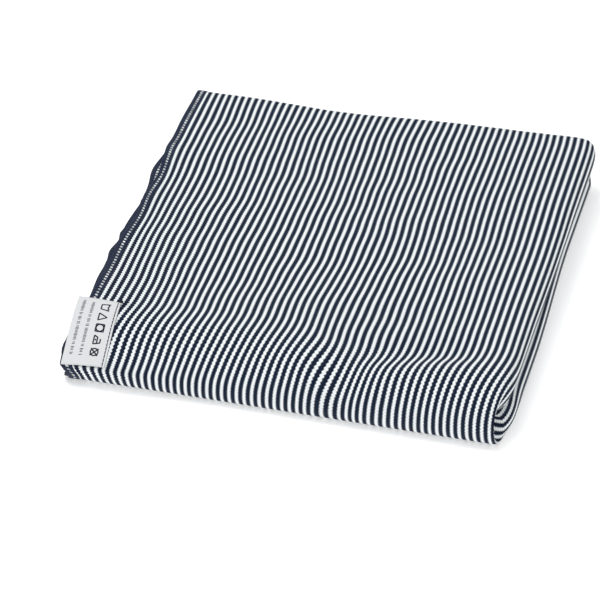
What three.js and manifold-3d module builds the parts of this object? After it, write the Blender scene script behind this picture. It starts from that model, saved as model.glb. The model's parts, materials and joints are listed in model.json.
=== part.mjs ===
// Folded baby wrap sling: one long strip of striped jersey, folded to a flat pack.
// Millimetres, +Z up. The pack lies on its underside, its last fold is at the front
// (-Y), its lengthwise fold on the right (+X) and its overlocked long edges on the
// left (-X). The origin is the middle of the footprint, on the resting surface.
import * as THREE from 'three';
import { mergeVertices } from 'three/addons/utils/BufferGeometryUtils.js';
import Module from 'manifold-3d';

const wasm = await Module();
wasm.setup();

// Driving dimensions of the pack
const packWidth = 270;         // half of the 540 mm wide cloth
const packDepth = 285;         // the 4.6 m length, halved four times
const rightHeight = 40;        // over the springy folds
const leftHeight = 31;         // over the flat edges
const noseDepth = 14;          // how far back the front fold stays round
const rearRound = 7;           // folds at the rear
const sideRound = 9;           // folds on the right
const cornerRound = 6;         // the right corners, seen from above
const gap = 0.3;               // between neighbouring pieces

// Overlock seams
const overlockWidth = 6;
const overlockWave = 1.6;      // the seam's ruffled edge swings this far
const overlockWaves = 6;
const overlockPush = 3.5;      // the lower edges stand out a little further
const endBandWidth = 230;      // of the cloth's short ends, between the rounded corners
const endBandThickness = 3;

// Label and the slope that it lies on
const labelWidth = 26;
const labelLength = 40;
const labelThickness = 0.6;
const labelOverhang = 6;       // past the overlocked edge
const slopeWidth = 50;         // of the drooping front left corner
const slopeLength = 41;
const slopeTopDrop = 0.6;      // below the pack's left height
const slopeFoot = 1.0;         // above the hinge line, at the front
const seamWidth = 1.6;
const seamThickness = 0.3;
const seamSetback = 0.8;       // leaves the label room to turn

const left = -packWidth / 2;
const right = packWidth / 2;
const front = -packDepth / 2;
const rear = packDepth / 2;

const clothColour = new THREE.MeshStandardMaterial({ color: 0x808897, roughness: 0.95, metalness: 0 });
const threadColour = new THREE.MeshStandardMaterial({ color: 0x27324c, roughness: 0.9, metalness: 0 });
const labelColour = new THREE.MeshStandardMaterial({ color: 0xe6e8e8, roughness: 0.7, metalness: 0 });

// Height of the pack over a place across its width. It halves at the front fold's hinge line.
const heightAt = (x) => leftHeight + (rightHeight - leftHeight) * (x - left) / packWidth;
const hingeHeightAt = (x) => heightAt(x) / 2;

// Points of an elliptical arc, from one angle to another, in degrees.
function arc(centreY, centreZ, radiusY, radiusZ, from, to, steps) {
  return Array.from({ length: steps + 1 }, (_, i) => {
    const angle = THREE.MathUtils.degToRad(from + (to - from) * i / steps);
    return [centreY + radiusY * Math.cos(angle), centreZ + radiusZ * Math.sin(angle)];
  });
}

// Side view of the upper half-pack: flat under, nested folds at the rear, round nose.
function upperProfile(bottom, top, from, to) {
  const middle = (bottom + top) / 2;
  const half = (top - bottom) / 2;
  return [
    ...arc(to - rearRound, middle, rearRound, half, -90, 90, 8),
    ...arc(from + noseDepth, bottom, noseDepth, top - bottom, 90, 180, 8),
  ];
}

// Side view of the lower half-pack: the same, the other way up.
function lowerProfile(bottom, top, from, to) {
  const middle = (bottom + top) / 2;
  const half = (top - bottom) / 2;
  return [
    ...arc(from + noseDepth, top, noseDepth, top - bottom, 180, 270, 8),
    ...arc(to - rearRound, middle, rearRound, half, -90, 90, 8),
  ];
}

// A closed body through outlines, lists of equally many [x, y, z] corners. The first and
// the last are capped by a fan around their middle.
function loft(outlines) {
  const count = outlines[0].length;
  const positions = outlines.flat(2);
  const index = [];
  for (let s = 0; s + 1 < outlines.length; s += 1) {
    for (let i = 0; i < count; i += 1) {
      const next = (i + 1) % count;
      const a = s * count + i;
      const b = s * count + next;
      index.push(a, b, b + count, a, b + count, a + count);
    }
  }
  [0, outlines.length - 1].forEach((s, end) => {
    const centre = positions.length / 3;
    const mean = [0, 1, 2].map((k) => outlines[s].reduce((sum, p) => sum + p[k], 0) / count);
    positions.push(...mean);
    for (let i = 0; i < count; i += 1) {
      const a = s * count + i;
      const b = s * count + (i + 1) % count;
      index.push(...(end ? [a, b, centre] : [b, a, centre]));
    }
  });
  const geometry = new THREE.BufferGeometry();
  geometry.setAttribute('position', new THREE.Float32BufferAttribute(positions, 3));
  geometry.setIndex(index);
  return geometry;
}

// A half-pack: its profile runs across the width and rounds off on the right, up to a
// narrow cap where the round has turned by roundEnd degrees.
function halfPack(profile, bottomAt, topAt) {
  const start = left + overlockWidth + gap;
  const straightSteps = 4;
  const roundSteps = 4;
  const roundEnd = 72;
  const straight = Array.from({ length: straightSteps + 1 }, (_, i) => ({
    x: start + (right - sideRound - start) * i / straightSteps,
    share: 1,
    inset: 0,
  }));
  const reach = sideRound / Math.sin(THREE.MathUtils.degToRad(roundEnd));
  const round = Array.from({ length: roundSteps }, (_, i) => {
    const angle = THREE.MathUtils.degToRad(roundEnd * (i + 1) / roundSteps);
    return {
      x: right - sideRound + reach * Math.sin(angle),
      share: Math.cos(angle),
      inset: cornerRound * (1 - Math.cos(angle)),
    };
  });
  return loft([...straight, ...round].map(({ x, share, inset }) => {
    const middle = (bottomAt(x) + topAt(x)) / 2;
    const half = (topAt(x) - bottomAt(x)) / 2;
    return profile(middle - half * share, middle + half * share, front + inset, rear - inset)
      .map(([y, z]) => [x, y, z]);
  }));
}

// The overlocked edges of one half-pack as a band with a ruffled outer edge.
function overlockBand(bottom, top, push) {
  const inner = left + overlockWidth;
  const from = front + noseDepth;
  const to = rear - rearRound;
  const steps = overlockWaves * 6;
  return loft(Array.from({ length: steps + 1 }, (_, i) => {
    const t = i / steps;
    const y = to + (from - to) * t;
    const outer = left - push + overlockWave * Math.sin(2 * Math.PI * overlockWaves * t + push);
    const middle = (bottom + top) / 2;
    const bevel = (top - bottom) / 5;
    return [
      [inner, y, bottom],
      [inner, y, top],
      [outer + bevel, y, top],
      [outer, y, middle + bevel],
      [outer, y, middle - bevel],
      [outer + bevel, y, bottom],
    ];
  }));
}

// The overlocked short ends of the cloth: a flat tongue out of the lower half's rear.
function clothEndBand() {
  const geometry = new THREE.BoxGeometry(endBandWidth, overlockWidth, endBandThickness);
  geometry.translate(0, rear + gap + overlockWidth / 2, hingeHeightAt(left) / 2);
  return geometry;
}

// The plane of the drooping front left corner.
const slopeTop = new THREE.Vector3(left, front + slopeLength, leftHeight - slopeTopDrop);
const slopeBottom = new THREE.Vector3(left, front, hingeHeightAt(left) + slopeFoot);
const slopeAngle = Math.atan2(slopeTop.z - slopeBottom.z, slopeTop.y - slopeBottom.y);

// Places a geometry, made on the XY plane around the slope's middle, on the slope.
function onSlope(geometry, x, lift) {
  const middle = slopeTop.clone().add(slopeBottom).multiplyScalar(0.5);
  geometry.translate(0, 0, lift);
  geometry.rotateX(slopeAngle);
  geometry.translate(x, middle.y, middle.z);
  return geometry;
}

function toSolid(geometry) {
  const bare = geometry.clone();
  bare.deleteAttribute('normal');
  bare.deleteAttribute('uv');
  const merged = mergeVertices(bare, 1e-4);
  return new wasm.Manifold(new wasm.Mesh({
    numProp: 3,
    vertProperties: merged.attributes.position.array,
    triVerts: new Uint32Array(merged.index.array),
  }));
}

function fromSolid(solid) {
  const mesh = solid.getMesh();
  const geometry = new THREE.BufferGeometry();
  geometry.setAttribute('position', new THREE.BufferAttribute(mesh.vertProperties, 3));
  geometry.setIndex(new THREE.BufferAttribute(mesh.triVerts, 1));
  return geometry;
}

// Everything above the slope is cut away at the front left corner.
function cutSlope(geometry) {
  const size = 120;
  const cutter = onSlope(new THREE.BoxGeometry(size, size, size), left + slopeWidth - size / 2, size / 2);
  return fromSolid(toSolid(geometry).subtract(toSolid(cutter)));
}

const group = new THREE.Group();

function add(name, geometry, material) {
  geometry.computeVertexNormals();
  const mesh = new THREE.Mesh(geometry, material);
  mesh.name = name;
  group.add(mesh);
  return mesh;
}

const lowerTopAt = (x) => hingeHeightAt(x) - gap / 2;
const upperBottomAt = (x) => hingeHeightAt(x) + gap / 2;

add('cloth_lower_half', halfPack(lowerProfile, () => 0, lowerTopAt), clothColour);
add('cloth_upper_half', cutSlope(halfPack(upperProfile, upperBottomAt, heightAt)), clothColour);
add('overlock_edge_lower', overlockBand(0, lowerTopAt(left - overlockPush) - gap, overlockPush), threadColour);
add('overlock_edge_upper', cutSlope(overlockBand(upperBottomAt(left) + gap, leftHeight, 0)), threadColour);
add('overlock_cloth_ends', clothEndBand(), threadColour);

const labelRight = left - labelOverhang + labelWidth;
const labelLift = gap + labelThickness / 2;
add(
  'woven_label',
  onSlope(new THREE.BoxGeometry(labelWidth, labelLength, labelThickness), labelRight - labelWidth / 2, labelLift),
  labelColour,
);
add(
  'label_seam',
  onSlope(
    new THREE.BoxGeometry(seamWidth, labelLength, seamThickness),
    labelRight + seamSetback + seamWidth / 2,
    gap + seamThickness / 2,
  ),
  threadColour,
);

// The origin: the middle of the footprint, on the resting surface.
const box = new THREE.Box3().setFromObject(group);
const centre = box.getCenter(new THREE.Vector3());
group.position.set(-centre.x, -centre.y, -box.min.z);

export default group;
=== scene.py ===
"""A folded baby wrap sling: one long striped jersey cloth folded to a flat pack, its overlocked edges
and its sewn-on label. Metres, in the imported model's frame: the front fold is at -Y, the lengthwise
fold at +X and the cloth's long edges at -X."""

import json
import math

import bpy
import numpy as np
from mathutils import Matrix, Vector


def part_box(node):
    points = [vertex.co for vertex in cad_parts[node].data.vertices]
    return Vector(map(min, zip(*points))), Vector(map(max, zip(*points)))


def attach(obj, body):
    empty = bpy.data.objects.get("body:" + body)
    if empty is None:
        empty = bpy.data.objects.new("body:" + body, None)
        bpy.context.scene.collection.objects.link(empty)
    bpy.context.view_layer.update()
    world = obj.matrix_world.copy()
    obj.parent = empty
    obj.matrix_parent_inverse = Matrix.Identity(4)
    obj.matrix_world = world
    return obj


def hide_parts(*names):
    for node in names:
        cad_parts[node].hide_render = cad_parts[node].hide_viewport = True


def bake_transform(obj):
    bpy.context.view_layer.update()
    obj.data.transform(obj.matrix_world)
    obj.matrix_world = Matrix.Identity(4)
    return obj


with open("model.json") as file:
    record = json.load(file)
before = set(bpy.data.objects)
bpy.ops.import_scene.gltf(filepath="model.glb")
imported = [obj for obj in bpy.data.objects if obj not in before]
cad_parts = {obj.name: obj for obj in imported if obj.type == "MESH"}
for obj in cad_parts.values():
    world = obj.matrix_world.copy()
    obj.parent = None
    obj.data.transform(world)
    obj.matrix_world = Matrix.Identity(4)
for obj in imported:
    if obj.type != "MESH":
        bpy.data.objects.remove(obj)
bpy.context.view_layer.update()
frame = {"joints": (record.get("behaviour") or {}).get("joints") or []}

MM = 0.001

# The pack's size, from the frame
half_low, half_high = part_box("cloth_upper_half")
hinge = next(j for j in frame["joints"] if j["name"] == "front_fold")
hinge_axis = Vector(hinge["axis"])
hinge_point = Vector(hinge["pos_m"])
OVERLOCK = 6 * MM
OVERLOCK_GAP = 0.3 * MM
LEFT = half_low.x - OVERLOCK - OVERLOCK_GAP
RIGHT = half_high.x
FRONT = half_low.y
REAR = half_high.y

# The cloth and its folds
FLAT_WIDTH = 0.54
HALVINGS = 3
SEGMENTS = 2**HALVINGS
SEGMENT_RUN = 0.5765          # straight run between the fold lines at the two ends
PLIES = 2 * SEGMENTS          # in one half of the pack
NOSE_CORE = 14 * MM           # the innermost ply's tip, behind the fold's outermost line
NOSE_DEPTH = (13 * MM, 30 * MM)      # how far back the front fold's curve starts, below and above
NOSE_QUARTER = (26 * MM, 38 * MM)    # cloth in that curve, below and above
SIDE_DEPTH = 8 * MM
SIDE_QUARTER = 13.5 * MM
REAR_DEPTH = 6 * MM

# Stripes and knit, along the cloth's width and length
STRIPE_PAIR = FLAT_WIDTH / 119
COURSES = 4                   # rows of stitches in a pair of stripes
TILE_PAIRS = 24
TILE_WALES = 50
WALE = TILE_PAIRS * STRIPE_PAIR / TILE_WALES
TOOTH = 0.75                  # how far the V of a stitch reaches, in courses
NAVY_SHARE = 0.585
TILE = (TILE_PAIRS * STRIPE_PAIR, TILE_WALES * WALE)

# The cloth's rows
NOSE_TIP = FRONT + 1.5 * MM   # the fold's outermost line
NOSE_SPANS = 21               # odd, so that no row lies on the hinge plane
OUTER_STEPS = 110
INNER_STEPS = 26
TURN_STEPS = 6
TURN_LENGTH = 1.9 * MM        # cloth in a fold at the rear, for each level it climbs
END_ROWS = np.array([0, 2, 4, 6]) * MM

# The fold leans: its outermost line lies low and back, except at the left
NOSE_LEAN = 6 * MM
NOSE_BACK = 5.2 * MM
NOSE_TUCK = 11 * MM           # how far the plies are tucked in behind the fold's right end

# The front left corner droops: the top slopes down to the fold
DROOP_DEPTH = 13.2 * MM
DROOP_LENGTH = 40 * MM
DROOP_FULL = -108 * MM
DROOP_END = 20 * MM

# The top dips behind the fold on the right
DIP_DEPTH = 5 * MM
DIP_BEHIND = 50 * MM

# Soft waves: (height, wavelength, direction in degrees, phase)
TOP_WAVES = (
    (0.4 * MM, 92 * MM, 62, 0.4),
    (0.25 * MM, 57 * MM, 118, 2.1),
    (0.12 * MM, 34 * MM, 75, 4.0),
)
SIDE_WAVES = (
    (0.8 * MM, 150 * MM, 60, 1.2),
    (0.4 * MM, 83 * MM, 112, 3.3),
    (0.16 * MM, 47 * MM, 50, 5.0),
    (0.1 * MM, 29 * MM, 98, 0.7),
)

# The cut edges of the top three plies, in millimetres: how far in from the straight line each lies,
# and its waves as (how far in, where along the pack, half width)
EDGE_IN = (0.8, 1.0, 1.2)
EDGE_WAVES = (
    ((2.4, 40, 17), (2.8, -8, 20), (-0.8, 70, 8), (0.9, -66, 26)),
    ((-2.8, 44, 13), (1.2, 10, 9), (-1.0, -19, 12), (-1.6, -68, 19), (-2.4, -45, 8)),
    ((-1.6, 36, 10), (-2.6, -24, 9), (-2.4, -58, 14)),
)
EDGE_DEEPER = 1.9 * MM        # the same for the plies below them
EDGE_LOWER = 1.4 * MM         # and for the lower half
EDGE_CORNER = 4.2 * MM        # how far the edge stands out at the front corner
EDGE_SCALLOP = 2.2 * MM
EDGE_LIFT = 1.0 * MM          # how high the top ply's edge curls up

# The overlocked edges
BAND_THICKNESS = 0.42 * MM
BAND_SIDES = 12
BAND_TILE = 100 * MM
BAND_STITCHES = 38            # in a tile
BAND_COLUMNS = 3              # of the cloth's mesh, under a long edge's band

# The label: its sewn edge is on the right and its flap hinge there
LABEL_WIDTH = 25 * MM
LABEL_LENGTH = 48 * MM
LABEL_RIGHT = -111.8 * MM
LABEL_TOP = -97 * MM
LABEL_YAW = 0.065
LABEL_FLATTEN = 0.95
LABEL_THICKNESS = 0.35 * MM
LABEL_CLEAR = 0.6 * MM
STRIP_WIDTH = 1.2 * MM
INK_HEIGHT = (LABEL_THICKNESS + 0.05 * MM, LABEL_THICKNESS + 0.08 * MM)
SYMBOL_SIZE = 5.6 * MM
SYMBOL_PITCH = 8 * MM
TICK_PITCH = 0.95 * MM
TICK_LINES = ((14.6 * MM, 4 * MM, 40), (20.4 * MM, 3 * MM, 42))      # across, start, count
STITCH_PITCH = 2.6 * MM
STITCH_LENGTH = 1.7 * MM

# The camera: where it stands and what it looks at
CAMERA_AZIMUTH = math.radians(14.3)
CAMERA_ELEVATION = math.radians(36.6)
CAMERA_DISTANCE = 2.225
CAMERA_LENS = 216
CAMERA_AIM = Vector((3, -3.15, 18)) * MM
CAMERA_OFFSET = (26 * MM, 24.3 * MM)      # of the picture's middle, to the left and down


def hinge_height(x):
    """The height of the plane between the halves."""
    return hinge_point.z + (x - hinge_point.x) * hinge_axis.z / hinge_axis.x


# ---------------------------------------------------------------- the folded cloth


def ease(v, start, end):
    """Rises smoothly from 0 at start to 1 at end."""
    t = np.clip((v - start) / (end - start), 0, 1)
    return t * t * (3 - 2 * t)


def bump(v, centre, width):
    """A round hump of height 1."""
    return np.exp(-(((v - centre) / width) ** 2))


def stack_levels(halvings):
    """Each segment's place in the stack, from the bottom, after halving the strip that many times."""
    levels = [0]
    for _ in range(halvings):
        top = 2 * len(levels) - 1
        levels = [
            level
            for i, old in enumerate(levels)
            for level in ((old, top - old) if i % 2 == 0 else (top - old, old))
        ]
    return levels


def run_places(steps, end_first):
    """Places along a segment: dense round the front fold with none right on it, and at the cloth's end."""
    middle = SEGMENT_RUN / 2
    lower = np.linspace(0, middle - NOSE_QUARTER[0], steps)
    if end_first:
        lower = np.concatenate([END_ROWS, lower[lower > END_ROWS[-1]]])
    upper = np.linspace(middle + NOSE_QUARTER[1], SEGMENT_RUN, steps)
    turn = np.linspace(-1, 1, NOSE_SPANS + 1)[1:-1]
    fold = middle + turn * np.where(turn < 0, *NOSE_QUARTER)
    return np.concatenate([lower, fold, upper])


def fold_rows(along, a, b, far):
    """Rows round a fold at the rear, from level a to level b."""
    length = TURN_LENGTH * abs(b - a)
    reach = REAR_DEPTH * abs(b - a) / (SEGMENTS - 1)
    for k in range(1, TURN_STEPS):
        angle = math.pi * k / TURN_STEPS
        place = reach * math.sin(angle)
        level = (a + b) / 2 + (a - b) / 2 * math.cos(angle)
        yield along + length * k / TURN_STEPS, SEGMENT_RUN + place if far else -place, level


def rows_along():
    """The cloth's rows as (distance along the cloth, place along the run, level in the stack)."""
    levels = [level + 0.5 for level in stack_levels(HALVINGS)]
    rows = []
    along = 0.0
    for i, level in enumerate(levels):
        outside = i in (0, SEGMENTS - 1)
        run = run_places(OUTER_STEPS if outside else INNER_STEPS, outside)
        far = i % 2 == 0
        for place in run if far else run[::-1]:
            rows.append((along + (place if far else SEGMENT_RUN - place), place, level))
        along += SEGMENT_RUN
        if i + 1 < SEGMENTS:
            rows += fold_rows(along, level, levels[i + 1], far)
            along += TURN_LENGTH * abs(levels[i + 1] - level)
    return np.array(rows)


def columns_across():
    """Places across the cloth, from one cut edge to the other: dense at the edges and the side fold."""
    middle = FLAT_WIDTH / 2
    edge = np.array([0, 2, 4, 6, 8.5, 12, 16, 20]) * MM
    flat = np.linspace(25 * MM, middle - SIDE_QUARTER, 38)
    fold = middle - SIDE_QUARTER * np.linspace(1, 0, 8)[1:]
    half = np.concatenate([edge, flat, fold])
    return np.concatenate([half, FLAT_WIDTH - half[-2::-1]])


def fold_across(u, zeta):
    """The fold along the cloth's middle: the place across the pack, and the ply from the outside."""
    depth = SEGMENTS - zeta
    away = np.abs(FLAT_WIDTH / 2 - u)
    angle = np.clip(away / SIDE_QUARTER, 0, 1) * math.pi / 2
    centre = RIGHT - SIDE_DEPTH
    stretch = (centre - LEFT) / (FLAT_WIDTH / 2 - SIDE_QUARTER)
    flat = np.maximum(away - SIDE_QUARTER, 0) * stretch
    x = centre + SIDE_DEPTH * depth / SEGMENTS * np.cos(angle) - flat
    side = np.where(u < FLAT_WIDTH / 2, -1, 1)
    return x, SEGMENTS + side * depth * np.sin(angle)


def fold_front(place, ply):
    """The last fold: the place along the pack, and the height above or below the hinge plane, -1 to 1."""
    below = place < SEGMENT_RUN / 2
    away = np.abs(place - SEGMENT_RUN / 2)
    quarter = np.where(below, *NOSE_QUARTER)
    angle = np.clip(away / quarter, 0, 1) * math.pi / 2
    depth = (PLIES - ply) / PLIES
    centre = NOSE_TIP + np.where(below, *NOSE_DEPTH)
    tip = NOSE_TIP + NOSE_CORE * (1 - depth)
    stretch = (REAR - REAR_DEPTH - centre) / (SEGMENT_RUN / 2 - quarter)
    y = tip + (centre - tip) * (1 - np.cos(angle)) + np.maximum(away - quarter, 0) * stretch
    return y, np.where(below, -1, 1) * depth * np.sin(angle)


def ripple(x, y, waves):
    """Soft waves over the pack. Each wave is (height, wavelength, direction in degrees, phase)."""
    total = 0.0
    for height, length, direction, phase in waves:
        turn = math.radians(direction)
        run = x * math.cos(turn) + y * math.sin(turn)
        total = total + height * np.sin(run * 2 * math.pi / length + phase)
    return total


def sag(x, y):
    """How far the upper half's top lies above its plain height: the drooping front left corner, the
    dip behind the front fold on the right and soft ripples."""
    run = (NOSE_TIP + DROOP_LENGTH - y) / DROOP_LENGTH
    ramp = (np.sqrt(run**2 + 0.015) + run) / 2
    share = (1 - ease(x, DROOP_FULL, DROOP_END)) ** 1.3
    droop = -DROOP_DEPTH * ramp * share
    line = NOSE_TIP + DIP_BEHIND - 13 * MM * bump(x, 50 * MM, 34 * MM)
    reach = ease(x, 0, 65 * MM) * (1 - ease(x, 92 * MM, 126 * MM))
    dip = -DIP_DEPTH * bump(y, line, 11 * MM) * reach
    inside = ease(y, NOSE_TIP + 12 * MM, NOSE_TIP + 40 * MM)
    return droop + dip + inside * ripple(x, y, TOP_WAVES)


def outside_height(x, y):
    """The height of the pack's top surface."""
    reach = np.clip((NOSE_TIP + NOSE_DEPTH[1] - y) / NOSE_DEPTH[1], 0, 1)
    rise = np.sqrt(1 - reach**2)
    return hinge_height(x) * (1 + rise) + sag(x, y) * rise


def edge_shift(place, y, ply, above):
    """How far a ply's cut edge lies from the straight line on the left: in from it where positive."""
    phase = 2.4 * np.floor(ply)
    loose = 1.3 * MM * np.sin(place * 2 * math.pi / (64 * MM) + phase * 1.7)
    loose = loose + 0.8 * MM * np.sin(place * 2 * math.pi / (37 * MM) + phase * 2.9)
    top_plies = [
        base * MM + sum(height * MM * bump(y, at * MM, width * MM) for height, at, width in waves)
        for base, waves in zip(EDGE_IN, EDGE_WAVES)
    ]
    chosen = np.select([ply < 1, ply < 2, ply < 3], top_plies, EDGE_DEEPER + loose)
    corner = EDGE_CORNER * bump(y, NOSE_TIP + 13 * MM, 20 * MM) * (1 - ease(ply, 4, 12))
    return chosen * above + (EDGE_LOWER + loose) * (1 - above) - corner


def settle(x, y, rise, place, ply, u):
    """The folded cloth as it lies: pulled, rippled and drooping. A rise of -1 to 1 becomes a height."""
    turn = place - SEGMENT_RUN / 2
    above = ease(turn, -NOSE_QUARTER[0], NOSE_QUARTER[1])
    low = np.clip(-rise, 0, 1)
    leaning = ease(x, -110 * MM, -30 * MM) * (1 - ease(y, NOSE_TIP + 25 * MM, NOSE_TIP + 85 * MM))
    y = y + (NOSE_BACK + NOSE_LEAN * rise) * leaning

    # pulled in at the right, more at the rear below and at the front above
    rear = ease(y, -60 * MM, 60 * MM)
    corner = ease(y, REAR - 22 * MM, REAR) ** 2
    tip = 1 - ease(y, NOSE_TIP, NOSE_TIP + 36 * MM)
    pull_above = 2.3 * MM + 1 * MM * corner + 4.2 * MM * tip
    pull_below = 0.6 * MM + 3.4 * MM * rear + 2 * MM * corner + 2 * MM * tip
    to_right = ease(x, 30 * MM, RIGHT)
    x = x - (pull_above * above + pull_below * (1 - above)) * to_right

    # tucked in behind the fold's right end
    tuck = bump(turn, -5 * MM, 17 * MM) * ease(ply, 0.8, 5) * ease(x, 96 * MM, 128 * MM)
    x = x - NOSE_TUCK * tuck

    # the cut edges
    edge = np.minimum(u, FLAT_WIDTH - u)
    scallop = EDGE_SCALLOP * (bump(turn, -8 * MM, 5 * MM) - bump(turn, -20 * MM, 6 * MM))
    scallop = scallop * (1 - ease(ply, 2, 6))
    x = x + (edge_shift(place, y, ply, above) + scallop) * np.exp(-edge / (11 * MM))

    # the rear edge bows in, the rows lie a little askew
    to_rear = ease(y, -20 * MM, REAR)
    bow = 1.5 * MM - 5 * MM * bump(x, -28 * MM, 52 * MM) - 4 * MM * ease(x, 114 * MM, RIGHT) ** 2
    y = y + bow * to_rear
    inside = ease(np.abs(rise), 0.1, 0.9) * (1 - to_right)
    x = x + ripple(x, y, SIDE_WAVES) * inside * (0.4 + 0.6 * above) * ease(edge, 0, 30 * MM)

    # the front left corner of the lower half is drawn in
    to_front = 1 - ease(y, NOSE_TIP, NOSE_TIP + 50 * MM)
    x = x + 4 * MM * low * (1 - ease(x, LEFT, LEFT + 60 * MM)) * to_front
    y = y + (0.6 * MM + 0.018 * x) * low * to_front

    height = hinge_height(x)
    change = np.where(rise > 0, sag(x, y) / height, 0)
    lift = EDGE_LIFT * np.exp(-edge / (9 * MM)) * bump(ply, 0, 2.5)
    lift = lift * (0.5 + 0.5 * np.sin(y * 2 * math.pi / (46 * MM)))
    lift = lift * ease(y, LABEL_TOP, LABEL_TOP + 25 * MM)
    z = height + rise * height * (1 + change) + np.where(rise > 0, lift * rise, 0)
    return np.stack([x, y, z], axis=-1)


def grain(x, y, turn):
    """How far to the left of straight the stripes run on top, where the jersey is a little skewed."""
    right = ease(x, 20 * MM, 80 * MM)
    line = -108 * MM - 28 * MM * bump(x, 35 * MM, 18 * MM) + 8 * MM * bump(x, 95 * MM, 20 * MM)
    step = 1 - ease(y, line - 20 * MM, line + 20 * MM)
    front = 1 - ease(y, -120 * MM, -20 * MM)
    bow = bump(y, -10 * MM, 80 * MM)
    nose = (1 - ease(turn, -12 * MM, 42 * MM)) * ease(x, -90 * MM, -30 * MM)
    skew = 5.2 * MM * step * (1 - 0.2 * right) - 1.6 * MM * bow * (1 + 0.6 * right)
    return skew - 2.4 * MM * right * front + 2.8 * MM * nose


def cloth_points():
    """The cloth's points, their places on the flat cloth, and which lie above the hinge plane."""
    rows = rows_along()
    columns = columns_across()
    along = rows[:, :1] + 0 * columns
    place = rows[:, 1:2] + 0 * columns
    zeta = rows[:, 2:3] + 0 * columns
    u = columns + 0 * along
    x, ply = fold_across(u, zeta)
    y, rise = fold_front(place, ply)
    points = settle(x, y, rise, place, ply, u)
    turn = place - SEGMENT_RUN / 2
    outside = (1 - ease(zeta, 0.5, 1.5)) * ease(turn, -120 * MM, -40 * MM)
    outside = outside * (1 - ease(u, FLAT_WIDTH / 2 + 10 * MM, FLAT_WIDTH / 2 + 90 * MM))
    across = u + grain(points[..., 0], points[..., 1], turn) * outside
    return points, np.stack([across, along], axis=-1), rise >= 0


# ---------------------------------------------------------------- meshes


def grid_mesh(name, points, coords, tile, material, closed=False):
    """A smooth mesh on a grid of points. coords are the surface's own measures, which repeat in tiles,
    with one more column than points where the rows close on themselves."""
    rows, columns = points.shape[:2]
    r = np.arange(rows - 1)[:, None]
    c = np.arange(columns if closed else columns - 1)[None, :]
    corners = ((r, c), (r, c + 1), (r + 1, c + 1), (r + 1, c))
    quads = np.stack([i * columns + j % columns for i, j in corners], axis=-1).reshape(-1, 4).tolist()
    tiles = np.stack([coords[i, j] for i, j in corners], axis=-2).reshape(-1, 4, 2) / np.array(tile)
    tiles = tiles - np.floor(tiles.mean(axis=1, keepdims=True))
    tiles = tiles.reshape(-1, 2)
    if closed:
        last = (rows - 1) * columns
        quads += [list(range(columns))[::-1], list(range(last, last + columns))]
        tiles = np.concatenate([tiles, np.full((2 * columns, 2), 0.01)])
    mesh = bpy.data.meshes.new(name)
    mesh.from_pydata(points.reshape(-1, 3).tolist(), [], quads)
    mesh.materials.append(material)
    mesh.polygons.foreach_set("use_smooth", np.ones(len(quads), bool))
    layer = mesh.uv_layers.new(name="OFBake")
    layer.data.foreach_set("uv", tiles.astype(np.float32).ravel())
    obj = bpy.data.objects.new(name, mesh)
    bpy.context.scene.collection.objects.link(obj)
    return obj


def unit(v):
    return v / np.maximum(np.linalg.norm(v, axis=-1, keepdims=True), 1e-12)


def band_points(outer, inner, half_thickness):
    """A flat band round an edge of the cloth, from just past outer to inner, as rings of points."""
    across = inner - outer
    along = np.gradient(outer, axis=0)
    normal = unit(np.cross(along, across))
    angles = np.linspace(0, 2 * math.pi, BAND_SIDES + 1)[:-1]
    rings = []
    for angle in angles:
        share = 0.5 - 0.56 * math.cos(angle)
        rings.append(outer + across * share + normal * half_thickness * math.sin(angle))
    return np.stack(rings, axis=1)


def distance_along(line):
    return np.concatenate([[0], np.cumsum(np.linalg.norm(np.diff(line, axis=0), axis=1))])


def band_mesh(name, outer, inner, half_thickness, material, sides=None):
    """sides, where given, says which rows belong above the hinge plane: each ring stays on its side."""
    points = band_points(outer, inner, half_thickness)
    if sides is not None:
        rise = points[..., 2] - hinge_height(points[..., 0])
        clear = 0.01 * MM
        wanted = np.where(sides[:, None], np.maximum(rise, clear), np.minimum(rise, -clear))
        points[..., 2] += wanted - rise
    along = distance_along(outer)[:, None]
    around = np.linspace(0, 1, BAND_SIDES + 1)[None, :]
    coords = np.stack([along + 0 * around, around + 0 * along], axis=-1)
    return grid_mesh(name, points, coords, (BAND_TILE, 1), material, closed=True)


def tube(name, path, radius, material):
    """A round thread along a path of points."""
    path = np.array(path)
    along = unit(np.gradient(path, axis=0))
    side = unit(np.cross(along, np.array([0.3, 0.2, 1.0])))
    normal = np.cross(side, along)
    angles = np.linspace(0, 2 * math.pi, 9)[:-1]
    rings = [path + radius * (side * math.cos(a) + normal * math.sin(a)) for a in angles]
    points = np.stack(rings, axis=1)
    distance = distance_along(path)[:, None]
    around = np.linspace(0, 1, 9)[None, :]
    coords = np.stack([distance + 0 * around, around + 0 * distance], axis=-1)
    return grid_mesh(name, points, coords, (distance[-1, 0], 1), material, closed=True)


# ---------------------------------------------------------------- materials


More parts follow.
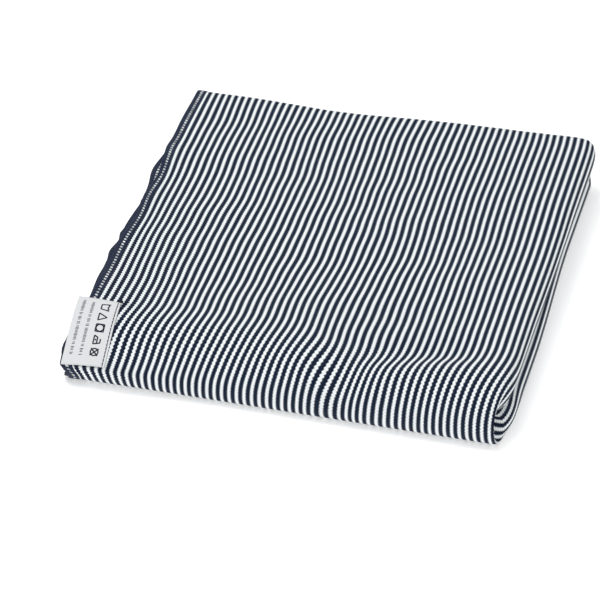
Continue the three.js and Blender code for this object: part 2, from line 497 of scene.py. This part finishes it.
class Nodes:
    """Builds a material's node tree with short calls."""

    def __init__(self, name):
        self.material = bpy.data.materials.new(name)
        self.material.use_nodes = True
        self.tree = self.material.node_tree
        self.shader = self.tree.nodes["Principled BSDF"]

    def new(self, kind, **values):
        node = self.tree.nodes.new(kind)
        for key, value in values.items():
            setattr(node, key, value)
        return node

    def link(self, value, socket):
        if isinstance(value, bpy.types.NodeSocket):
            self.tree.links.new(value, socket)
        else:
            socket.default_value = value

    def math(self, operation, *values):
        node = self.new("ShaderNodeMath", operation=operation)
        for value, socket in zip(values, node.inputs):
            self.link(value, socket)
        return node.outputs[0]

    def mix(self, share, a, b):
        node = self.new("ShaderNodeMix", data_type="RGBA")
        self.link(share, node.inputs[0])
        self.link(a, node.inputs[6])
        self.link(b, node.inputs[7])
        return node.outputs[2]

    def uv(self):
        node = self.new("ShaderNodeUVMap", uv_map="OFBake")
        split = self.new("ShaderNodeSeparateXYZ")
        self.link(node.outputs[0], split.inputs[0])
        return split.outputs[0], split.outputs[1]

    def bump(self, height, distance, strength):
        node = self.new("ShaderNodeBump")
        node.inputs["Strength"].default_value = strength
        node.inputs["Distance"].default_value = distance
        self.link(height, node.inputs["Height"])
        self.link(node.outputs[0], self.shader.inputs["Normal"])

    def finish(self, roughness, sheen=0.0):
        self.shader.inputs["Roughness"].default_value = roughness
        self.shader.inputs["Specular IOR Level"].default_value = 0.2
        self.shader.inputs["Sheen Weight"].default_value = sheen
        return self.material


def linear(red, green, blue):
    """A colour given as it looks, in 0 to 255, as the shader's linear values."""
    return tuple(((v / 255 + 0.055) / 1.055) ** 2.4 for v in (red, green, blue)) + (1,)


NAVY = linear(16, 28, 51)
WHITE = linear(241, 246, 248)
BLACK = (0, 0, 0, 1)
# the overlock's one navy thread, as a painted shade colour and a painted highlight colour
THREAD_PAINTED_SHADE = linear(6, 10, 26)
THREAD_PAINTED_HIGHLIGHT = linear(34, 45, 69)
TAPE = linear(222, 224, 226)


def jersey_material():
    """Striped jersey: V-shaped stitches, in courses across the stripes and wales along the cloth."""
    n = Nodes("striped_jersey")
    u, v = n.uv()
    wale = n.math("FRACT", n.math("MULTIPLY", v, TILE_WALES))
    tooth = n.math("ABSOLUTE", n.math("MULTIPLY_ADD", wale, 2.0, -1.0))
    course = n.math("MULTIPLY_ADD", u, TILE_PAIRS * COURSES, TOOTH / 2)
    course = n.math("SUBTRACT", course, n.math("MULTIPLY", tooth, TOOTH))
    within = n.math("FRACT", course)
    in_pair = n.math("FRACT", n.math("MULTIPLY_ADD", course, 1 / COURSES, 0.5))
    off_middle = n.math("ABSOLUTE", n.math("SUBTRACT", in_pair, 0.5))
    navy = n.math("LESS_THAN", off_middle, NAVY_SHARE / 2)
    stitch = n.math("POWER", n.math("SINE", n.math("MULTIPLY", within, math.pi)), 0.5)
    leg = n.math("POWER", n.math("SINE", n.math("MULTIPLY", tooth, math.pi)), 0.5)
    height = n.math("MULTIPLY", stitch, n.math("MULTIPLY_ADD", leg, 0.5, 0.5))
    # painted shade: the base colour darkens between the stitches, where the stitch height is low
    shade = n.math("MULTIPLY_ADD", height, 0.22, 0.8)
    colour = n.mix(navy, WHITE, NAVY)
    n.link(n.mix(shade, BLACK, colour), n.shader.inputs["Base Color"])
    n.bump(height, 0.3 * MM, 0.5)
    return n.finish(0.95, sheen=0.03)


def overlock_material():
    """Navy thread wrapped round the cloth's edge: slanting rungs, with needle stitches as light dots."""
    n = Nodes("overlock_thread")
    u, v = n.uv()
    inward = n.math("SUBTRACT", 0.5, n.math("ABSOLUTE", n.math("SUBTRACT", v, 0.5)))
    slant = n.math("MULTIPLY", inward, 1.6)
    stitch = n.math("FRACT", n.math("ADD", n.math("MULTIPLY", u, BAND_STITCHES), slant))
    rung = n.math("SINE", n.math("MULTIPLY", stitch, math.pi))
    near = n.math("ABSOLUTE", n.math("SUBTRACT", inward, 0.27))
    dots = n.math("MULTIPLY", n.math("LESS_THAN", near, 0.04), n.math("GREATER_THAN", rung, 0.72))
    slow = n.math("SINE", n.math("MULTIPLY_ADD", u, 2 * math.pi * 3, 1.0))
    quick = n.math("SINE", n.math("MULTIPLY", u, 2 * math.pi * 11))
    patchy = n.math("MULTIPLY_ADD", n.math("ADD", slow, quick), 0.16, 0.68)
    # painted shade and highlight: the thread is darker in the grooves between the rungs and lighter on
    # their crests
    colour = n.mix(n.math("MULTIPLY_ADD", rung, 0.7, 0.3), THREAD_PAINTED_SHADE, THREAD_PAINTED_HIGHLIGHT)
    colour = n.mix(n.math("MULTIPLY", dots, patchy), colour, WHITE)
    n.link(colour, n.shader.inputs["Base Color"])
    n.bump(rung, 0.3 * MM, 0.6)
    return n.finish(0.8, sheen=0.05)


def plain_material(name, colour, roughness):
    n = Nodes(name)
    n.shader.inputs["Base Color"].default_value = colour
    return n.finish(roughness)


def tape_material():
    """Woven label tape: a fine cross weave."""
    n = Nodes("label_tape")
    u, v = n.uv()
    weft = n.math("SINE", n.math("MULTIPLY", u, 2 * math.pi * 150))
    warp = n.math("SINE", n.math("MULTIPLY", v, 2 * math.pi * 90))
    height = n.math("MULTIPLY", weft, warp)
    # painted shade: the tape's colour darkens slightly in the weave's hollows and lightens on its
    # crossings
    colour = n.mix(n.math("MULTIPLY_ADD", height, 0.04, 0.96), BLACK, TAPE)
    n.link(colour, n.shader.inputs["Base Color"])
    n.bump(height, 0.05 * MM, 0.3)
    return n.finish(0.6)


# ---------------------------------------------------------------- pieces


def make_cloth(points, coords):
    """The whole wrap, as one sheet."""
    obj = grid_mesh("wrap_cloth", points, coords, TILE, jersey_material())
    join_halves(obj)
    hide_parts("cloth_lower_half", "cloth_upper_half")


def join_halves(obj):
    """Bakes the object's transform into its mesh."""
    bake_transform(obj)


def make_overlock(points, above):
    """The seams over the cloth's two long edges and its two short ends."""
    material = overlock_material()
    inner = BAND_COLUMNS
    edges = (
        ("first", points[:, 0], points[:, inner]),
        ("second", points[:, -1], points[:, -1 - inner]),
    )
    for name, outer, inside in edges:
        sides = above[:, 0]
        obj = band_mesh("long_edge_" + name, outer, inside, BAND_THICKNESS, material, sides)
        join_halves(obj)
        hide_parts("overlock_edge_lower", "overlock_edge_upper")
    inner = len(END_ROWS) - 1
    ends = (("first", points[0], points[inner]), ("second", points[-1], points[-1 - inner]))
    for name, outer, inside in ends:
        obj = band_mesh("cloth_end_" + name, outer, inside, BAND_THICKNESS, material)
        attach(obj, "lower_half")
        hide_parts("overlock_cloth_ends")


def label_point(across, along, lift=0.0):
    """A point of the label: across from its sewn right edge towards the left, along from its top end."""
    x = LABEL_RIGHT - across + LABEL_YAW * along
    y = LABEL_TOP - along * LABEL_FLATTEN - 0.08 * across * along / LABEL_LENGTH
    share = max(across, 0) / LABEL_WIDTH
    curl = 0.5 * MM * math.sin(share * math.pi) + 0.3 * MM * share**2
    return np.array([x, y, outside_height(np.array(x), np.array(y)) + LABEL_CLEAR + curl + lift])


def strokes(name, lines, width, bottom, top, material):
    """Flat strips of the label in one piece. A line is a list of (across, along); width is measured
    square to it, and bottom and top are heights over the label's underside."""
    profile = ((-0.5, bottom), (-0.46, top), (0.46, top), (0.5, bottom))
    sides = len(profile)
    vertices = []
    faces = []
    for line in lines:
        line = np.array(line, float)
        step = unit(np.gradient(line, axis=0))
        square = np.stack([-step[:, 1], step[:, 0]], axis=1)
        first = len(vertices)
        for point, side in zip(line, square):
            vertices += [label_point(*(point + side * width * a), lift=b) for a, b in profile]
        for k in range(len(line) - 1):
            ring = first + k * sides
            for a in range(sides):
                b = (a + 1) % sides
                faces.append([ring + a, ring + b, ring + sides + b, ring + sides + a])
        last = first + (len(line) - 1) * sides
        faces += [[first + a for a in range(sides)][::-1], [last + a for a in range(sides)]]
    mesh = bpy.data.meshes.new(name)
    mesh.from_pydata(vertices, [], faces)
    mesh.materials.append(material)
    obj = bpy.data.objects.new(name, mesh)
    bpy.context.scene.collection.objects.link(obj)
    return obj


def make_label():
    """The label and its marks, with its sewn edge at the right."""
    tape = tape_material()
    ink = plain_material("label_ink", linear(28, 32, 48), 0.8)
    span = np.linspace(0, LABEL_LENGTH, 40)
    breadth = np.linspace(0, LABEL_WIDTH, 64)
    sections = []
    for along in span:
        top = [label_point(a, along, LABEL_THICKNESS) for a in breadth]
        low = [label_point(a, along) for a in breadth[::-1]]
        sections.append(top + low)
    points = np.array(sections)
    around = np.linspace(0, 1, points.shape[1] + 1)[None, :]
    distance = span[:, None] / LABEL_LENGTH
    coords = np.stack([distance + 0 * around, around + 0 * distance], axis=-1)
    label = grid_mesh("label", points, coords, (1, 1), tape, closed=True)
    parts = [label] + label_marks(ink)
    for obj in parts:
        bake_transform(obj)
        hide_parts("woven_label")


def care_symbols():
    """Laundry-care symbols, each a list of lines in a square of side 1."""
    angles = np.linspace(0, 2 * math.pi, 17)
    circle = [(0.5 + 0.42 * math.cos(a), 0.5 + 0.42 * math.sin(a)) for a in angles]
    square = [(0.05, 0.05), (0.95, 0.05), (0.95, 0.95), (0.05, 0.95), (0.05, 0.05)]
    tub = [(0, 1), (0.16, 0.05), (0.84, 0.05), (1, 1)]
    water = [(0.04, 0.76), (0.27, 0.9), (0.5, 0.76), (0.73, 0.9), (0.96, 0.76)]
    triangle = [(0.02, 0.05), (0.98, 0.05), (0.5, 0.98), (0.02, 0.05)]
    iron = [(0, 0.14), (1, 0.14), (0.84, 0.86), (0.36, 0.86)]
    iron_front = [(0, 0.14), (0.2, 0.52), (0.9, 0.52)]
    iron_dot = [(0.4, 0.33), (0.6, 0.33)]
    cross = [[(0.08, 0.08), (0.92, 0.92)], [(0.08, 0.92), (0.92, 0.08)]]
    return [[tub, water], [triangle], [square, circle], [iron, iron_front, iron_dot], [circle, *cross]]


def label_marks(ink):
    """Care symbols in a row and two lines of plain ticks in groups, running along the label."""
    bold = [
        fine_line([
            (3.8 * MM + (1 - b) * SYMBOL_SIZE, 4 * MM + i * SYMBOL_PITCH + a * SYMBOL_SIZE)
            for a, b in line
        ])
        for i, lines in enumerate(care_symbols())
        for line in lines
    ]
    ticks = []
    for across, start, count in TICK_LINES:
        for k in range(count):
            if k % 7 not in (3, 6) or k % 3 == 0:
                along = start + k * TICK_PITCH
                reach = (0.7 + 0.35 * ((k * 5) % 4) / 3) * MM
                ticks.append([(across - reach, along), (across + reach, along + 0.3 * MM)])
    low, high = INK_HEIGHT
    return [
        strokes("label_care_symbols", bold, 0.85 * MM, low, high, ink),
        strokes("label_ticks", ticks, 0.42 * MM, low, high, ink),
    ]


def fine_line(corners):
    """The line through the corners in short steps, so that it follows the label's surface."""
    corners = [np.array(c) for c in corners]
    line = [corners[0]]
    for a, b in zip(corners, corners[1:]):
        count = max(1, round(np.linalg.norm(b - a) / (0.8 * MM)))
        line += [a + (b - a) * (k + 1) / count for k in range(count)]
    return line


def knot_path():
    """A small coil at the top end of the seam."""
    path = []
    for a in np.linspace(0, 3.6 * math.pi, 26):
        across = -1.6 * MM + 0.9 * MM * math.cos(a)
        along = -0.4 * MM + 0.7 * MM * math.sin(a)
        path.append(label_point(across, along, 0.5 * MM + 0.06 * MM * a))
    return path


def tail_path():
    """The thread's short loose end, which lies on the cloth."""
    path = []
    for t in np.linspace(0, 1, 14):
        along = -0.9 * MM + 1.6 * MM * math.sin(4 * t)
        path.append(label_point(-1.8 * MM - 4.5 * MM * t, along, 0.1 * MM))
    return path


def make_seam():
    """The label's folded strip beside its hinge, with the dashed stitches that sew it down."""
    tape = tape_material()
    thread = plain_material("label_thread", linear(24, 28, 44), 0.8)
    middle = -0.3 * MM - STRIP_WIDTH / 2
    line = [(middle, along) for along in np.linspace(0, LABEL_LENGTH, 40)]
    starts = [1 * MM + i * STITCH_PITCH for i in range(int(LABEL_LENGTH / STITCH_PITCH))]
    dashes = [[(0.1 * MM, start), (0.1 * MM, start + STITCH_LENGTH)] for start in starts]
    low, high = LABEL_THICKNESS, LABEL_THICKNESS + 0.12 * MM
    parts = [
        strokes("label_strip", [line], STRIP_WIDTH, -0.4 * MM, low, tape),
        strokes("label_stitches", dashes, 0.35 * MM, low - 0.3 * MM, high, thread),
    ]
    parts.append(tube("thread_knot", knot_path(), 0.3 * MM, thread))
    parts.append(tube("thread_tail", tail_path(), 0.25 * MM, thread))
    for obj in parts:
        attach(obj, "upper_half")
        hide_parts("label_seam")


# ---------------------------------------------------------------- the studio


def make_camera():
    back = Vector((
        math.sin(CAMERA_AZIMUTH) * math.cos(CAMERA_ELEVATION),
        -math.cos(CAMERA_AZIMUTH) * math.cos(CAMERA_ELEVATION),
        math.sin(CAMERA_ELEVATION),
    ))
    right = Vector((math.cos(CAMERA_AZIMUTH), math.sin(CAMERA_AZIMUTH), 0))
    up = back.cross(right)
    data = bpy.data.cameras.new("camera")
    camera = bpy.data.objects.new("camera", data)
    bpy.context.scene.collection.objects.link(camera)
    camera.location = CAMERA_AIM + back * CAMERA_DISTANCE
    look = CAMERA_AIM - right * CAMERA_OFFSET[0] - up * CAMERA_OFFSET[1] - camera.location
    camera.rotation_mode = "QUATERNION"
    camera.rotation_quaternion = look.to_track_quat("-Z", "Y")
    data.lens = CAMERA_LENS
    data.clip_start, data.clip_end = 0.01, 50
    bpy.context.scene.camera = camera


def make_stage():
    """A plain pale floor under an even white sky."""
    size = 4.0
    corners = [(-size, -size, 0), (size, -size, 0), (size, size, 0), (-size, size, 0)]
    mesh = bpy.data.meshes.new("floor")
    mesh.from_pydata(corners, [], [(0, 1, 2, 3)])
    floor = bpy.data.objects.new("floor", mesh)
    bpy.context.scene.collection.objects.link(floor)
    n = Nodes("floor")
    n.shader.inputs["Base Color"].default_value = linear(252, 252, 252)
    n.shader.inputs["Emission Color"].default_value = (1, 1, 1, 1)
    n.shader.inputs["Emission Strength"].default_value = 0.35
    mesh.materials.append(n.finish(0.9))
    world = bpy.data.worlds.new("world")
    world.use_nodes = True
    world.node_tree.nodes["Background"].inputs[0].default_value = (1, 1, 1, 1)
    world.node_tree.nodes["Background"].inputs[1].default_value = 0.62
    bpy.context.scene.world = world
    bpy.context.scene.view_settings.view_transform = "Standard"


def add_light(name, place, size, power):
    """A round soft light that shines at the origin."""
    data = bpy.data.lights.new(name, "AREA")
    data.shape = "DISK"
    data.size = size
    data.energy = power
    light = bpy.data.objects.new(name, data)
    light.location = place
    light.rotation_mode = "QUATERNION"
    light.rotation_quaternion = (-Vector(place)).to_track_quat("-Z", "Y")
    bpy.context.scene.collection.objects.link(light)


make_camera()
make_stage()
add_light("key", (-0.5, -0.1, 2.0), 1.2, 19)
add_light("fill", (-1.3, -1.2, 1.3), 1.5, 3)

points, coords, above = cloth_points()
make_cloth(points, coords)
make_overlock(points, above)
make_label()
make_seam()
